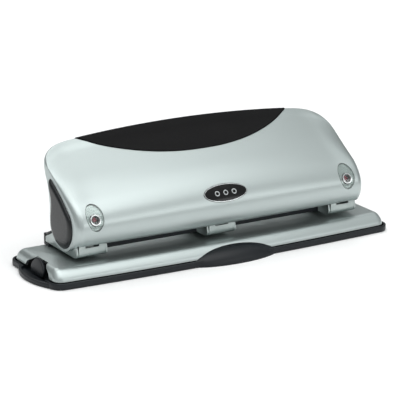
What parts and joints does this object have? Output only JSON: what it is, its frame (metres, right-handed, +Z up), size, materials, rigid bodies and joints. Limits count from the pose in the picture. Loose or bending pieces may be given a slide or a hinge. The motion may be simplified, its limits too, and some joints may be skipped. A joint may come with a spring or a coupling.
{
  "type": "three-hole punch",
  "caption": "Desktop paper punch: fin-shaped silver lever handle with black grip on a long flat base with a drop-down chip tray.",
  "frame": {"origin": "on the flat underside of the chip tray, below the axis plane of the middle punch head", "axes": "+X along the base to the end with the tray hinge, -Y to the front where the paper goes in, +Z up"},
  "size_m": [0.2964, 0.0881, 0.0943],
  "materials": {
    "silver_paint_steel": "satin silver paint on steel sheet",
    "silver_paint_plastic": "satin silver metallic paint on moulded plastic",
    "black_plastic": "fine-grained matte black",
    "soft_grip": "matte soft-touch black",
    "zinc_steel": "zinc-plated sheet steel",
    "tool_steel": "ground tool steel",
    "spring_steel": "oiled spring wire",
    "gloss_black": "polished black",
    "clear_lens": "clear moulded lens",
    "red_mark": "deep red"
  },
  "bodies": {
    "base": {"base_cover": "silver_paint_steel", "tray_hinge_rod": "tool_steel", "rear_rail": "black_plastic", "head_left": "zinc_steel", "head_core_left": "black_plastic", "die_left": "tool_steel", "guide_sleeve_left": "tool_steel", "return_spring_left": "spring_steel", "head_centre": "zinc_steel", "head_core_centre": "black_plastic", "die_centre": "tool_steel", "guide_sleeve_centre": "tool_steel", "return_spring_centre": "spring_steel", "head_right": "zinc_steel", "head_core_right": "black_plastic", "die_right": "tool_steel", "guide_sleeve_right": "tool_steel", "return_spring_right": "spring_steel", "rivet_left_1": "tool_steel", "rivet_left_2": "tool_steel", "rivet_centre_1": "tool_steel", "rivet_centre_2": "tool_steel", "rivet_right_1": "tool_steel", "rivet_right_2": "tool_steel"},
    "tray": {"chip_tray": "black_plastic"},
    "latch": {"tray_latch": "black_plastic"},
    "handle": {"handle_cover": "silver_paint_plastic", "handle_back": "black_plastic", "grip_pad": "soft_grip", "badge": "gloss_black", "inner_frame": "black_plastic", "pivot_shaft": "tool_steel", "rocker_left": "zinc_steel", "rocker_centre": "zinc_steel", "rocker_right": "zinc_steel", "end_cap_left": "black_plastic", "window_lens_left": "clear_lens", "sight_ring_left": "black_plastic", "sight_mark_left": "red_mark", "end_cap_right": "black_plastic", "window_lens_right": "clear_lens", "sight_ring_right": "black_plastic", "sight_mark_right": "red_mark"},
    "pin_left": {"punch_pin_left": "tool_steel"},
    "pin_centre": {"punch_pin_centre": "tool_steel"},
    "pin_right": {"punch_pin_right": "tool_steel"}
  },
  "joints": [
    {"name": "handle_press", "type": "hinge", "parent": "base", "child": "handle", "pos_m": [0, -0.003, 0.0375], "axis": [-1, 0, 0], "range_deg": [0, 20], "stiffness_Nm_per_rad": 1.2, "springref_deg": -17.19},
    {"name": "tray_open", "type": "hinge", "parent": "base", "child": "tray", "pos_m": [0.1431, 0, 0.0032], "axis": [0, -1, 0], "range_deg": [0, 60]},
    {"name": "latch_flex", "type": "hinge", "parent": "tray", "child": "latch", "pos_m": [-0.1416, 0, 0.003], "axis": [0, 1, 0], "range_deg": [0, 6], "stiffness_Nm_per_rad": 0.05},
    {"name": "pin_left_slide", "type": "slide", "parent": "base", "child": "pin_left", "axis": [0, 0, -1], "range_m": [0, 0.0054], "deforming": ["return_spring_left"]},
    {"name": "pin_centre_slide", "type": "slide", "parent": "base", "child": "pin_centre", "axis": [0, 0, -1], "range_m": [0, 0.0054], "deforming": ["return_spring_centre"]},
    {"name": "pin_right_slide", "type": "slide", "parent": "base", "child": "pin_right", "axis": [0, 0, -1], "range_m": [0, 0.0054], "deforming": ["return_spring_right"]}
  ],
  "couplings": [
    {"joint": "pin_left_slide", "follows": "handle_press", "m_per_rad": 0.015},
    {"joint": "pin_centre_slide", "follows": "handle_press", "m_per_rad": 0.015},
    {"joint": "pin_right_slide", "follows": "handle_press", "m_per_rad": 0.015}
  ]
}
